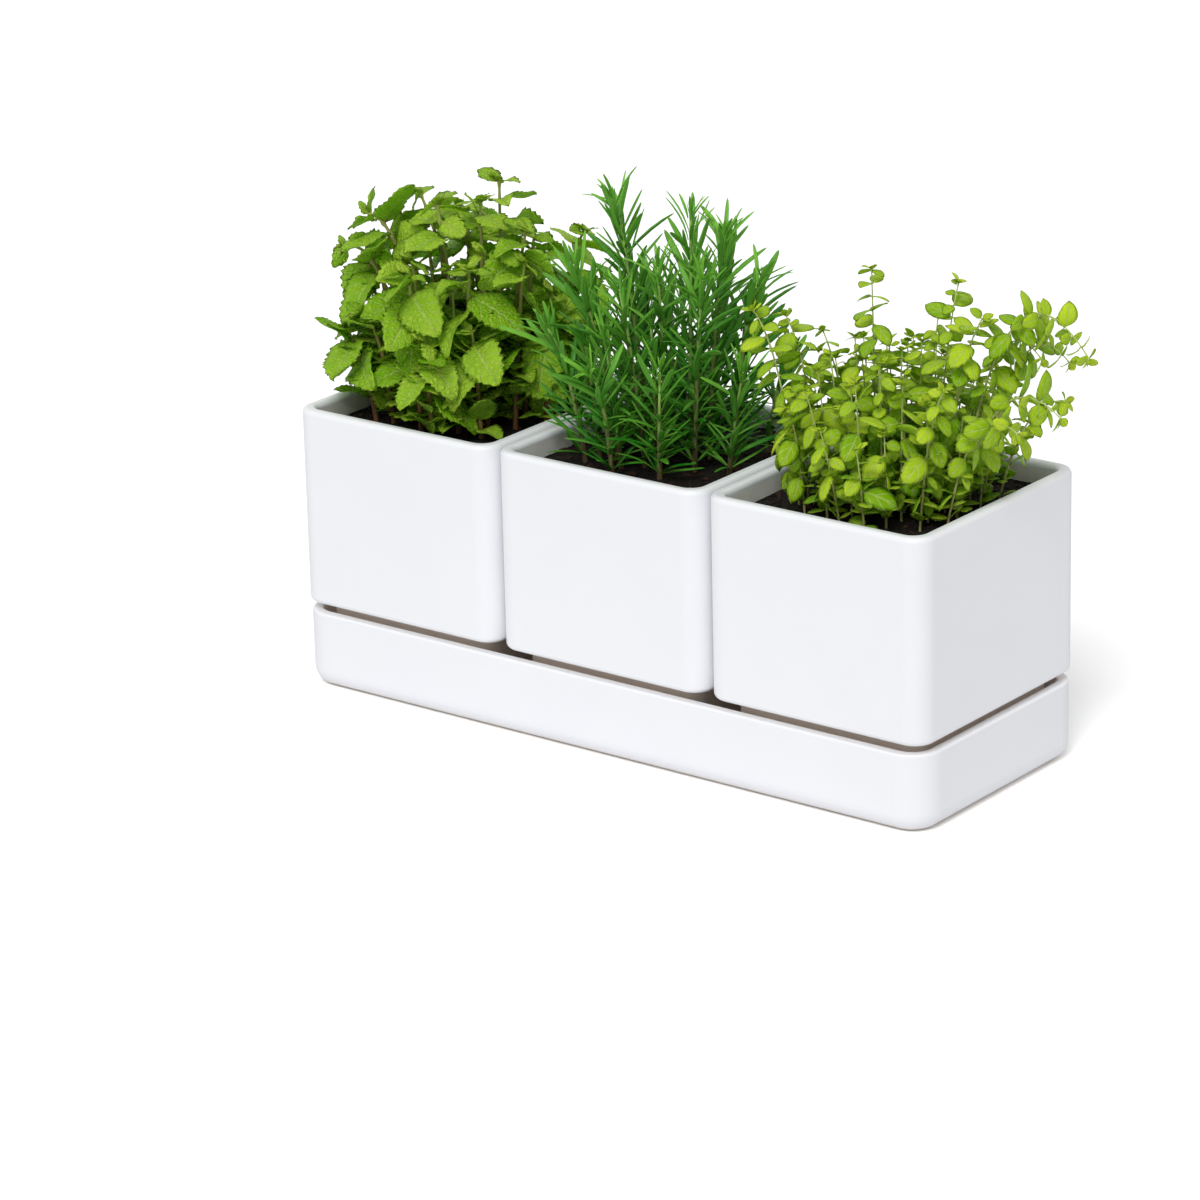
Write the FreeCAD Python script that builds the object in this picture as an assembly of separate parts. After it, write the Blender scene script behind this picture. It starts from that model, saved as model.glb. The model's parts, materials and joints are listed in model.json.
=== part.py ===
"""Indoor herb planter: a long drip tray, three stepped pots, and mint, rosemary and oregano in their soil.

Millimetres, +Z up. The origin is the middle of the tray's underside, +X runs along the row of pots and -Y is
the front. Each piece is written to parts/NODE.step.
"""
import FreeCAD
import Part
import math
import os
import random

Vector = FreeCAD.Vector
UP = Vector(0, 0, 1)

# Pots: a wide body with a rounded rim, standing on a narrower foot that goes down into the tray
pot_length = 108.0            # along the row
pot_depth = 118.0
pot_body_height = 89.0        # from the shoulder over the tray to the top of the rim
pot_wall = 5.6
pot_floor = 6.0
pot_corner = 9.5              # radius of the upright outer corners
pot_inner_corner = 5.5
pot_shoulder_round = 2.5
pot_rim_round = 2.3
pot_foot_corner = 6.5
pot_foot_round = 2.0
pot_inner_round = 4.0         # inside, between wall and floor
pot_gap = 2.2                 # air between two neighbouring pots
drain_hole = 12.0             # diameter, in the middle of each pot's floor
foot_ring = 7.0               # width of the ring that a pot stands on
foot_recess = 2.0             # how far the underside is dished inside that ring

# Tray
tray_margin_x = 0.8           # the tray stands out past the end pots by this
tray_margin_y = 1.0           # and past the front and back of the pots by this
tray_height = 35.0
tray_wall = 5.0
tray_floor = 5.0
tray_corner = 14.0
tray_bottom_round = 8.5
tray_rim_round = 1.1
tray_inner_round = 3.5

# How the pieces stand in each other
foot_play = 4.5               # between a pot's foot and the tray's wall
shadow_gap = 3.4              # between the tray's rim and a pot's shoulder
seat_gap = 0.2                # under a pot's foot and under a root ball
soil_play = 0.5               # between a root ball and the pot's walls
soil_drop = 8.0               # from the rim down to the soil
stem_gap = 0.1                # under the cut foot of a stem
leaf_gap = 0.3                # between a stem and the foot of a leaf
leaf_clearance = 0.35         # between two leaves, and between a leaf and a stem
plant_clearance = 1.0         # between a plant and a pot, and between a plant and the next pot's space
bare_soil = 6.8               # strip along the walls with no leaves over it below the rim

pots = ("left_pot", "middle_pot", "right_pot")
tray_length = len(pots) * pot_length + (len(pots) - 1) * pot_gap + 2 * tray_margin_x
tray_width = pot_depth + 2 * tray_margin_y
pot_pitch = pot_length + pot_gap
pot_x = [(i - (len(pots) - 1) / 2) * pot_pitch for i in range(len(pots))]
shoulder_z = tray_height + shadow_gap
rim_z = shoulder_z + pot_body_height
foot_z = tray_floor + seat_gap
foot_inset = tray_wall + foot_play - tray_margin_x
foot_length = pot_length - 2 * foot_inset
foot_depth = pot_depth - 2 * foot_inset
cavity_z = foot_z + pot_floor
ledge_z = shoulder_z + pot_wall          # the step inside a pot, over its shoulder
soil_z = rim_z - soil_drop


def rounded_rectangle(length, width, corner, x, z):
    """A closed wire of four lines and four quarter circles, level at z, centred on x."""
    a, b = length / 2, width / 2
    edges = []
    for turn in range(4):
        c, s = round(math.cos(turn * math.pi / 2)), round(math.sin(turn * math.pi / 2))
        half, reach = (a, b) if turn % 2 == 0 else (b, a)

        def at(u, v):
            return Vector(x + c * u - s * v, s * u + c * v, z)

        middle = corner * math.sqrt(0.5)
        edges.append(Part.LineSegment(at(half, corner - reach), at(half, reach - corner)).toShape())
        edges.append(Part.Arc(
            at(half, reach - corner),
            at(half - corner + middle, reach - corner + middle),
            at(half - corner, reach),
        ).toShape())
    return Part.Wire(edges)


def block(length, width, corner, x, bottom, top):
    """An upright block with rounded upright corners."""
    return Part.Face(rounded_rectangle(length, width, corner, x, bottom)).extrude(UP * (top - bottom))


def level_edges(shape, z):
    """The edges that lie level at z."""
    return [e for e in shape.Edges if all(abs(v.Z - z) < 1e-4 for v in e.Vertexes)
            and abs(e.BoundBox.ZLength) < 1e-3]


def rounded(shape, radius, z):
    """The shape with all its edges at z rounded."""
    return shape.makeFillet(radius, level_edges(shape, z))


def make_tray():
    """One open dish, rounded outside, with a flat floor for the pots' feet and a flat underside."""
    body = rounded(block(tray_length, tray_width, tray_corner, 0, 0, tray_height), tray_bottom_round, 0)
    inside = block(tray_length - 2 * tray_wall, tray_width - 2 * tray_wall, tray_corner - tray_wall, 0,
                   tray_floor, tray_height)
    return rounded(body.cut(rounded(inside, tray_inner_round, tray_floor)), tray_rim_round, tray_height)


def make_pot(x):
    """One pot: body and foot outside, the same step inside, a rounded rim and a drain hole."""
    body = block(pot_length, pot_depth, pot_corner, x, shoulder_z, rim_z)
    foot = block(foot_length, foot_depth, pot_foot_corner, x, foot_z, ledge_z)
    cavity = block(pot_length - 2 * pot_wall, pot_depth - 2 * pot_wall, pot_inner_corner, x, ledge_z, rim_z)
    well = block(foot_length - 2 * pot_wall, foot_depth - 2 * pot_wall, pot_inner_corner, x, cavity_z, rim_z)
    pot = rounded(body, pot_shoulder_round, shoulder_z).fuse(rounded(foot, pot_foot_round, foot_z))
    pot = pot.cut(rounded(cavity, pot_inner_round, ledge_z)).cut(rounded(well, pot_inner_round, cavity_z))
    pot = rounded(pot.removeSplitter(), pot_rim_round, rim_z)
    dish = block(foot_length - 2 * foot_ring, foot_depth - 2 * foot_ring, pot_foot_corner, x,
                 foot_z, foot_z + foot_recess)
    hole = Part.makeCylinder(drain_hole / 2, pot_floor, Vector(x, 0, foot_z))
    return pot.cut(dish).cut(hole)


def make_root_ball(x):
    """Soil and roots in the shape of the pot's inside, with the pot's step in it."""
    wide = block(pot_length - 2 * (pot_wall + soil_play), pot_depth - 2 * (pot_wall + soil_play),
                 pot_inner_corner, x, ledge_z + seat_gap, soil_z)
    narrow = block(foot_length - 2 * (pot_wall + soil_play), foot_depth - 2 * (pot_wall + soil_play),
                   pot_inner_corner, x, cavity_z + seat_gap, soil_z)
    return rounded(wide, pot_inner_round, ledge_z + seat_gap).fuse(
        rounded(narrow, pot_inner_round, cavity_z + seat_gap)).removeSplitter()


# Plants. A sprig is (foot x, foot y, tip x, tip y, tip height, rise): from the middle of its pot and from the
# soil, with the rise as the share of the height at which the stem bends over. These are the sprigs that stand
# out; lower ones fill the pot between them.
mint_sprigs = [
    (-20, -6, -50, -8, 84, 1.0), (-24, -14, -56, -16, 70, 1.1), (-10, 8, -32, 6, 92, 0.7),
    (-6, 20, -24, 24, 84, 0.6), (0, -8, -8, -12, 95, 0.6), (8, 10, 9, 10, 103, 0.5),
    (18, 2, 31, 0, 86, 0.7), (20, 26, 34, 36, 78, 0.7), (-30, -32, -40, -38, 40, 0.8),
    (12, -20, 22, -28, 74, 0.7),
]
rosemary_sprigs = [
    (-20, -16, -34, -26, 84, 0.7), (-12, -6, -23, -10, 110, 0.7), (-28, -28, -40, -36, 58, 0.7),
    (-4, -18, -10, -25, 76, 0.6), (0, -8, 2, -14, 86, 0.6), (4, 4, 6, 4, 104, 0.5),
    (14, 4, 22, 6, 98, 0.7), (6, 18, 8, 26, 90, 0.6), (18, -12, 30, -20, 86, 0.7),
    (22, 10, 36, 12, 80, 0.8), (-22, 16, -34, 22, 66, 0.7),
]
oregano_sprigs = [
    (-8, 0, -7, -4, 98, 0.6), (16, 8, 26, 10, 94, 0.7), (28, 10, 66, 10, 68, 1.4),
    (30, 4, 92, 4, 74, 1.7), (36, -6, 84, -4, 50, 1.5), (34, 16, 74, 18, 66, 1.4),
    (-30, -24, -45, -34, 82, 0.8), (-32, -6, -46, -10, 74, 0.8), (-26, 10, -40, 8, 64, 0.7),
    (4, 18, 8, 22, 74, 0.6), (26, 0, 44, 0, 84, 0.8), (38, -16, 74, -20, 46, 1.3),
    (30, -24, 46, -30, 62, 0.8), (38, 22, 66, 28, 46, 1.0),
]

stem_sides = 4                # herbs of the mint family have square stems
stem_steps = 5                # straight lengths in one stem
tip_share = 0.45              # thickness of a stem's tip as a share of its foot's
bend_share = 0.35             # how far towards its tip a stem has come where it bends over
sprig_inset_x = 8.9           # from the edge of the soil in to the outermost sprigs, along the row
sprig_inset_y = 9.9           # and across it
leaf_attempts = 8             # places tried for a leaf before it is left out

sprig_reach_x = pot_length / 2 - pot_wall - soil_play - sprig_inset_x
sprig_reach_y = pot_depth / 2 - pot_wall - soil_play - sprig_inset_y


class Herb:
    """What one kind of herb's stems and leaves measure."""

    def __init__(self, stem, spacing, bare, longest, shortest, shape, per_node, lift, unruly, droop,
                 thickness, fillers, middle_height, edge_height, seed):
        self.stem = stem                # radius of a stem at the soil
        self.spacing = spacing          # along the stem, between two sets of leaves
        self.bare = bare                # length of stem over the soil with no leaves
        self.longest = longest          # leaf length near the middle of a sprig
        self.shortest = shortest        # and at its tip
        self.shape = shape              # (share of its length, half width as a share of it), foot to tip
        self.per_node = per_node        # leaves that leave the stem at one height
        self.lift = lift                # degrees over square to the stem: lowest leaf, highest leaf
        self.unruly = unruly            # degrees by which the lift and the roll of a leaf stray
        self.droop = droop              # how far a leaf's tip bends down, as a share of its length
        self.thickness = thickness
        self.fillers = fillers          # number of lower sprigs between those that stand out
        self.middle_height = middle_height      # of the lower sprigs, in the middle of the pot
        self.edge_height = edge_height          # and along its walls
        self.seed = seed


mint = Herb(stem=1.25, spacing=8.5, bare=4.0, longest=29.0, shortest=12.0,
            shape=((0.0, 0.02), (0.3, 0.35), (0.62, 0.32), (0.86, 0.16)), per_node=2,
            lift=(-55, 4), unruly=28, droop=0.22, thickness=0.6,
            fillers=26, middle_height=86, edge_height=46, seed=11)
rosemary = Herb(stem=1.15, spacing=4.4, bare=3.0, longest=26.0, shortest=17.0,
                shape=((0.0, 0.025), (0.45, 0.055)), per_node=3,
                lift=(36, 66), unruly=14, droop=0.06, thickness=0.9,
                fillers=18, middle_height=74, edge_height=44, seed=23)
oregano = Herb(stem=0.55, spacing=6.8, bare=3.0, longest=14.5, shortest=7.0,
               shape=((0.0, 0.025), (0.38, 0.34), (0.75, 0.24)), per_node=2,
               lift=(-55, 12), unruly=24, droop=0.16, thickness=0.5,
               fillers=46, middle_height=64, edge_height=42, seed=37)


def polyhedron(points, faces):
    """A solid with flat faces, each given by its corners' numbers, anticlockwise from outside."""
    made = [Part.Face(Part.makePolygon([points[i] for i in face] + [points[face[0]]])) for face in faces]
    return Part.Solid(Part.Shell(made))


def unit(v):
    return v * (1 / v.Length)


def filler_sprigs(herb, rng):
    """Lower sprigs, spread over the pot like the seeds of a sunflower and leaning outwards."""
    sprigs = []
    for k in range(herb.fillers):
        radius = math.sqrt((k + 0.5) / herb.fillers)
        turn = k * math.pi * (3 - math.sqrt(5))
        foot_x, foot_y = sprig_reach_x * radius * math.cos(turn), sprig_reach_y * radius * math.sin(turn)
        height = herb.middle_height + (herb.edge_height - herb.middle_height) * radius ** 2
        sprigs.append((foot_x, foot_y, foot_x * rng.uniform(1.05, 1.35), foot_y * rng.uniform(1.05, 1.35),
                       height * rng.uniform(0.8, 1.15), rng.uniform(0.5, 0.9)))
    return sprigs


def held(value, reach):
    """A value kept between -reach and reach."""
    return max(-reach, min(reach, value))


def stem_path(sprig, x):
    """Points along a sprig's stem: a parabola from its foot in the soil, over its bend, to its tip."""
    foot_x, foot_y, tip_x, tip_y, height, rise = sprig
    foot = Vector(x + held(foot_x, sprig_reach_x), held(foot_y, sprig_reach_y), soil_z + stem_gap)
    tip = Vector(x + tip_x, tip_y, soil_z + height)
    bend = Vector(foot.x + bend_share * (tip.x - foot.x), foot.y + bend_share * (tip.y - foot.y),
                  foot.z + rise * height)
    path = []
    for step in range(stem_steps + 1):
        t = step / stem_steps
        path.append(foot * (1 - t) ** 2 + bend * (2 * t * (1 - t)) + tip * t ** 2)
    return path


def stem_radius(herb, t):
    return herb.stem * (1 - (1 - tip_share) * t)


def stem_rings(herb, path):
    """The corners of a tapered square stem: a ring of them at each point of its path, the first one level."""
    rings, side = [], Vector(1, 0, 0)
    for i, centre in enumerate(path):
        along = UP if i == 0 else unit(path[min(i + 1, stem_steps)] - path[i - 1])
        side = unit(side - along * side.dot(along))
        other = along.cross(side)
        radius = stem_radius(herb, i / stem_steps)
        turns = [2 * math.pi * k / stem_sides for k in range(stem_sides)]
        rings.append([centre + (side * math.cos(a) + other * math.sin(a)) * radius for a in turns])
    return rings


def stem_solid(rings):
    """A stem of rings joined by triangles."""
    points = [corner for ring in rings for corner in ring]
    faces = [tuple(reversed(range(stem_sides)))]
    for i in range(stem_steps):
        for k in range(stem_sides):
            a, b = i * stem_sides + k, i * stem_sides + (k + 1) % stem_sides
            c, d = b + stem_sides, a + stem_sides
            faces += [(a, b, c), (a, c, d)]
    faces.append(tuple(range(stem_steps * stem_sides, (stem_steps + 1) * stem_sides)))
    return polyhedron(points, faces)


class Leaf:
    """A blade from a foot on its stem. Its upper side is strips between level lines across it, and a tip."""

    def __init__(self, herb, foot, along, normal, length):
        self.herb, self.normal = herb, normal
        side = normal.cross(along)
        left, right = [], []
        for t, half in herb.shape:
            centre = foot + along * (t * length) - normal * (herb.droop * length * t * t)
            left.append(centre + side * (half * length))
            right.append(centre - side * (half * length))
        self.points = left + [foot + along * length - normal * (herb.droop * length)] + right[::-1]
        last, count = len(left) - 1, len(self.points)
        self.strips = [(count - 1 - i, count - 2 - i, i + 1, i) for i in range(last)]
        self.strips.append((last + 2, last + 1, last))
        middle = [p - normal * (herb.thickness / 2) for p in self.points]
        self.flat = [(p.x, p.y, p.z) for p in middle]
        self.low = [min(p[k] for p in self.flat) for k in range(3)]
        self.high = [max(p[k] for p in self.flat) for k in range(3)]
        self.edges = list(zip(self.flat, self.flat[1:] + self.flat[:1]))
        self.sheet = [(self.flat[strip[0]], self.flat[strip[i]], self.flat[strip[i + 1]])
                      for strip in self.strips for i in range(1, len(strip) - 1)]

    def solid(self):
        """The blade as thick as its herb's leaves are, under the upper side."""
        under = len(self.points)
        points = self.points + [p - self.normal * self.herb.thickness for p in self.points]
        faces = self.strips + [tuple(i + under for i in reversed(strip)) for strip in self.strips]
        for a in range(under):
            b = (a + 1) % under
            faces.append((a, b, b + under, a + under))
        return polyhedron(points, faces)


def pierces(p, q, a, b, c):
    """Does the line from p to q go through the triangle a, b, c? All are (x, y, z)."""
    dx, dy, dz = q[0] - p[0], q[1] - p[1], q[2] - p[2]
    ux, uy, uz = b[0] - a[0], b[1] - a[1], b[2] - a[2]
    vx, vy, vz = c[0] - a[0], c[1] - a[1], c[2] - a[2]
    hx, hy, hz = dy * vz - dz * vy, dz * vx - dx * vz, dx * vy - dy * vx
    size = ux * hx + uy * hy + uz * hz
    if abs(size) < 1e-12:
        return False
    sx, sy, sz = p[0] - a[0], p[1] - a[1], p[2] - a[2]
    u = (sx * hx + sy * hy + sz * hz) / size
    if u < 0 or u > 1:
        return False
    kx, ky, kz = sy * uz - sz * uy, sz * ux - sx * uz, sx * uy - sy * ux
    v = (dx * kx + dy * ky + dz * kz) / size
    if v < 0 or u + v > 1:
        return False
    return 0 <= (vx * kx + vy * ky + vz * kz) / size <= 1


def line_distance(p, q, r, s):
    """The least distance between the lines from p to q and from r to s."""
    dx, dy, dz = q[0] - p[0], q[1] - p[1], q[2] - p[2]
    ex, ey, ez = s[0] - r[0], s[1] - r[1], s[2] - r[2]
    wx, wy, wz = p[0] - r[0], p[1] - r[1], p[2] - r[2]
    dd, ee, de = dx * dx + dy * dy + dz * dz, ex * ex + ey * ey + ez * ez, dx * ex + dy * ey + dz * ez
    dw, ew = dx * wx + dy * wy + dz * wz, ex * wx + ey * wy + ez * wz
    square = dd * ee - de * de
    u = min(1.0, max(0.0, (de * ew - dw * ee) / square)) if square > 1e-9 else 0.0
    v = (de * u + ew) / ee
    if v < 0 or v > 1:
        v = min(1.0, max(0.0, v))
        u = min(1.0, max(0.0, (de * v - dw) / dd))
    return math.dist((wx + dx * u, wy + dy * u, wz + dz * u), (ex * v, ey * v, ez * v))


def comes_near(leaf, lines, distance):
    """Does any of these lines pass through a leaf's middle sheet, or nearer to it than a distance?"""
    n = leaf.normal * distance
    for p, q in lines:
        low, high = [min(ends) for ends in zip(p, q)], [max(ends) for ends in zip(p, q)]
        if not boxes_meet(leaf.low, leaf.high, low, high, distance):
            continue
        across = [((x + n.x, y + n.y, z + n.z), (x - n.x, y - n.y, z - n.z)) for x, y, z in (p, q)]
        if any(pierces(a, b, *face) for a, b in [(p, q)] + across for face in leaf.sheet):
            return True
        if any(line_distance(p, q, r, s) < distance for r, s in leaf.edges):
            return True
    return False


def boxes_meet(low, high, other_low, other_high, distance):
    return all(low[k] - distance <= other_high[k] and other_low[k] - distance <= high[k] for k in range(3))


def inside_its_space(leaf, x, first, last):
    """Is a leaf clear of its own pot and of the space over the neighbouring pots?"""
    reach_x = pot_length / 2 - pot_wall - bare_soil
    reach_y = pot_depth / 2 - pot_wall - bare_soil
    space = pot_pitch / 2 - plant_clearance
    over_soil = soil_z + plant_clearance + leaf.herb.thickness
    over_rim = rim_z + plant_clearance + leaf.herb.thickness
    for start, end in leaf.edges:
        for share in (0, 0.25, 0.5, 0.75):
            px, py, pz = (a + (b - a) * share for a, b in zip(start, end))
            within = abs(px - x) <= reach_x and abs(py) <= reach_y
            if pz < (over_soil if within else over_rim):
                return False
            if (px - x < -space and not first) or (px - x > space and not last):
                return False
    return True


def leaf_at(herb, path, rings, t, angle, rng):
    """A leaf that leaves the stem at share t of its path, turned by an angle about the stem."""
    place = t * stem_steps
    i = min(int(place), stem_steps - 1)
    centre = path[i] + (path[i + 1] - path[i]) * (place - i)
    section = [a + (b - a) * (place - i) for a, b in zip(rings[i], rings[i + 1])]
    stem_way = unit(path[i + 1] - path[i])
    east = unit(Vector(1, 0, 0) - stem_way * stem_way.x)
    out = east * math.cos(angle) + stem_way.cross(east) * math.sin(angle)
    unruly = math.radians(herb.unruly)
    lift = math.radians(herb.lift[0] + (herb.lift[1] - herb.lift[0]) * t) + rng.uniform(-unruly, unruly)
    along = out * math.cos(lift) + stem_way * math.sin(lift)
    normal = stem_way * math.cos(lift) - out * math.sin(lift)
    roll = rng.uniform(-1.6, 1.6) * unruly
    normal = unit(normal * math.cos(roll) + normal.cross(along) * math.sin(roll))
    fullness = min(1.0, 0.6 + 1.2 * t, 4.5 * (1 - t))
    length = herb.shortest + (herb.longest - herb.shortest) * fullness
    length *= rng.uniform(0.86, 1.08)
    stem_reach = max((corner - centre).dot(out) for corner in section)
    foot_reach = (herb.shape[0][1] * length * abs(normal.cross(along).dot(out))
                  + herb.thickness * max(0.0, normal.dot(out)))
    return Leaf(herb, centre + out * (stem_reach + leaf_gap + foot_reach), along, normal, length)


def grow_stems(herb, sprigs, x, rng):
    """The paths of one plant's stems, and each one's lines. A sprig that meets another is left out."""
    paths, stems = [], []
    for sprig in sprigs + filler_sprigs(herb, rng):
        path = stem_path(sprig, x)
        lines = [((a.x, a.y, a.z), (b.x, b.y, b.z)) for a, b in zip(path, path[1:])]
        others = [line for stem in stems for line in stem]
        apart = 2 * herb.stem + leaf_clearance
        if all(line_distance(p, q, r, s) > apart for p, q in lines for r, s in others):
            paths.append(path)
            stems.append(lines)
    return paths, stems


def fits(leaf, leaves, stems, own):
    """Is a leaf clear of the plant's stems and other leaves? At its own stem only its outer part is."""
    apart = leaf.herb.thickness + leaf_clearance
    from_stem = leaf.herb.stem + apart
    if any(comes_near(leaf, lines, from_stem) for n, lines in enumerate(stems) if n != own):
        return False
    if any(line_distance(p, q, r, s) < from_stem for p, q in leaf.edges[1:-2] for r, s in stems[own]):
        return False
    for other in leaves:
        if boxes_meet(leaf.low, leaf.high, other.low, other.high, apart):
            if comes_near(leaf, other.edges, apart) or comes_near(other, leaf.edges, apart):
                return False
    return True


def grow(herb, sprigs, x, first, last):
    """The stems and leaves of one plant, as two lists of solids. No leaf meets another, a stem or a pot."""
    rng = random.Random(herb.seed)
    paths, stems = grow_stems(herb, sprigs, x, rng)
    rings = [stem_rings(herb, path) for path in paths]
    leaves = []
    for own, path in enumerate(paths):
        length = sum((b - a).Length for a, b in zip(path, path[1:]))
        nodes = max(2, round((length - herb.bare) / herb.spacing))
        for node in range(nodes + 1):
            t = min(1.0, (herb.bare + (length - herb.bare) * node / nodes) / length)
            start = node * math.pi / herb.per_node + rng.uniform(-0.3, 0.3)
            for k in range(herb.per_node):
                for attempt in range(leaf_attempts):
                    angle = start + 2 * math.pi * k / herb.per_node + rng.uniform(-0.3, 0.3) * attempt
                    leaf = leaf_at(herb, path, rings[own], t, angle, rng)
                    if inside_its_space(leaf, x, first, last) and fits(leaf, leaves, stems, own):
                        leaves.append(leaf)
                        break
    return [stem_solid(stem) for stem in rings], [leaf.solid() for leaf in leaves]


def write(name, *solids):
    """One STEP file, of one solid or of a group of them."""
    shape = solids[0] if len(solids) == 1 else Part.makeCompound(list(solids))
    shape.exportStep(f"parts/{name}.step")
    box = shape.BoundBox
    print(f"{name}: {len(shape.Solids)} solids, {shape.Volume / 1000:.1f} cm3, "
          f"x {box.XMin:.1f}..{box.XMax:.1f} y {box.YMin:.1f}..{box.YMax:.1f} z {box.ZMin:.1f}..{box.ZMax:.1f}")


def main():
    os.makedirs("parts", exist_ok=True)
    write("tray", make_tray())
    for name, x in zip(pots, pot_x):
        write(name, make_pot(x))
    plants = (("mint", mint, mint_sprigs, "leaves"), ("rosemary", rosemary, rosemary_sprigs, "needles"),
              ("oregano", oregano, oregano_sprigs, "leaves"))
    for i, (name, herb, sprigs, blades) in enumerate(plants):
        write(f"{name}_root_ball", make_root_ball(pot_x[i]))
        stems, leaves = grow(herb, sprigs, pot_x[i], i == 0, i == len(plants) - 1)
        write(f"{name}_stems", *stems)
        write(f"{name}_{blades}", *leaves)


main()
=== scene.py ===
# %% [markdown]
# # An indoor herb planter
#
# A long white drip tray carries three square pots, and mint, rosemary and oregano grow in them. The hard
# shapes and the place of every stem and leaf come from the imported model, the frame. This script gives the
# pieces their looks: glazed and bare ceramic, crumbly soil with roots, stems that bend smoothly, and blades
# with real outlines and veins. All lengths are in metres, so a value in millimetres is written as a number
# times MM.

# %% Load the frame
import json
import math
import random

import bmesh
import bpy
import numpy as np
from mathutils import Matrix, Vector, noise

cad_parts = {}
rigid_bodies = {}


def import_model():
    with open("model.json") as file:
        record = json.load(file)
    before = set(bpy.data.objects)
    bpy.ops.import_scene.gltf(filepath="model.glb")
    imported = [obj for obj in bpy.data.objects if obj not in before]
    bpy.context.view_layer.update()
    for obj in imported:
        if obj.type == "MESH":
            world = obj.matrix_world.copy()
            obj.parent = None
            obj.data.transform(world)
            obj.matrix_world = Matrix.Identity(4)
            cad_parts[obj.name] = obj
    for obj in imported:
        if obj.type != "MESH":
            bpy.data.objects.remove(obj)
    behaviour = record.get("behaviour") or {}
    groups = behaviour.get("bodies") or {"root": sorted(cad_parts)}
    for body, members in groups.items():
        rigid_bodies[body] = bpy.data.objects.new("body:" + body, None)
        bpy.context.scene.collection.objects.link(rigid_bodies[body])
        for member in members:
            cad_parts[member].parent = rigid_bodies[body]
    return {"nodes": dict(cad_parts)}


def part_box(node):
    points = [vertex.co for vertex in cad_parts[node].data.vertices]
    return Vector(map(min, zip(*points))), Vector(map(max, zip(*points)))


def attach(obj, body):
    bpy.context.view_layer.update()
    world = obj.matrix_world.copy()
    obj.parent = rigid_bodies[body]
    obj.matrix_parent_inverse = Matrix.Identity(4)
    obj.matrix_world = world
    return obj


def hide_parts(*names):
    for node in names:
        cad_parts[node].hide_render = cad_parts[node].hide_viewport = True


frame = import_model()
bpy.context.view_layer.update()
nodes = frame["nodes"]
scene = bpy.context.scene
MM = 0.001
print("pieces in the frame:", ", ".join(sorted(nodes)))

# %% [markdown]
# ## A few small tools
#
# Materials and Geometry Nodes are both trees of nodes. One function adds a node, sets its properties and
# fills its inputs, each with a value or with another node to link from. Colours are written as the hex
# codes that a painting program shows, and Blender wants linear values, so one function turns the one into
# the other. Two more put an object into the scene and start a material.

# %% Add a node, place an object, turn a colour to linear, start a material


def add(tree, kind, inputs=None, **settings):
    """A new node. A kind that names no family is a ShaderNode, and an operation may follow it.

    An input is named or numbered, and takes a value, a socket or a node's first output in use.
    """
    kind, _, operation = kind.partition(" ")
    other_family = kind.startswith(("GeometryNode", "FunctionNode", "NodeGroup"))
    node = tree.nodes.new(kind if other_family else "ShaderNode" + kind)
    if operation:
        node.operation = operation
    for name, value in settings.items():
        setattr(node, name, value)
    for name, value in (inputs or {}).items():
        if isinstance(name, int):
            socket = node.inputs[name]
        else:
            socket = next(s for s in node.inputs if s.enabled and s.name == name)
        if isinstance(value, bpy.types.Node):
            value = next(s for s in value.outputs if s.enabled)
        if isinstance(value, bpy.types.NodeSocket):
            tree.links.new(value, socket)
        else:
            socket.default_value = value
    return node


def placed(name, data):
    """A new object in the scene."""
    thing = bpy.data.objects.new(name, data)
    scene.collection.objects.link(thing)
    return thing


def linear(code):
    """The linear red, green, blue and alpha of a hex colour such as #7F9A3C."""
    channels = [int(code[i:i + 2], 16) / 255 for i in (1, 3, 5)]
    return [c / 12.92 if c <= 0.04045 else ((c + 0.055) / 1.055) ** 2.4 for c in channels] + [1.0]


def new_material(name):
    """An empty material and its tree."""
    material = bpy.data.materials.new(name)
    material.use_nodes = True
    material.node_tree.nodes.clear()
    return material, material.node_tree


print("linear mid grey:", [round(c, 3) for c in linear("#808080")])

# %% [markdown]
# ## Camera
#
# The view is a long lens from the right and a little above, so the lines of the tray stay nearly parallel.
# Its direction is given as an azimuth and an elevation, and a small roll and a step aside put the planter
# in the upper right of the frame.

# %% Camera
view_azimuth = math.radians(37.984)
view_elevation = math.radians(19.368)
view_roll = math.radians(-1.396)
view_distance = 2123.3 * MM
view_aside = 34.44 * MM          # the planter's middle lies this far right of the picture's middle
view_raised = 4.86 * MM          # and this far over it
aim_height = 58.7 * MM

back = Vector((math.sin(view_azimuth) * math.cos(view_elevation),
               -math.cos(view_azimuth) * math.cos(view_elevation),
               math.sin(view_elevation)))
level_right = (-back).cross(Vector((0, 0, 1))).normalized()
level_up = level_right.cross(-back)
right = level_right * math.cos(view_roll) + level_up * math.sin(view_roll)
up = level_up * math.cos(view_roll) - level_right * math.sin(view_roll)

lens = bpy.data.cameras.new("camera")
lens.lens = 148.48
lens.sensor_width = 36
lens.clip_end = 100
camera = placed("camera", lens)
place = Matrix((right, up, back)).transposed().to_4x4()
place.translation = Vector((0, 0, aim_height)) + back * view_distance - right * view_aside - up * view_raised
camera.matrix_world = place
scene.camera = camera
print("camera at", [round(v, 3) for v in place.translation])

# %% [markdown]
# ## Light, floor and world
#
# White pots on white ground need soft light that is a little stronger from one side, or their faces melt
# into each other. The world lights everything evenly, and one broad sun from high in front makes the front
# brighter than the right side and gives the leaves their light and dark. Its shadow falls behind the
# planter. The ground is a wide pale floor. To the camera and in reflections the world is plain white.

# %% Light, floor and world
world_level = 0.5
sun_level = 1.6
sun_from = Vector((0.25, -0.62, 0.74))

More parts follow.
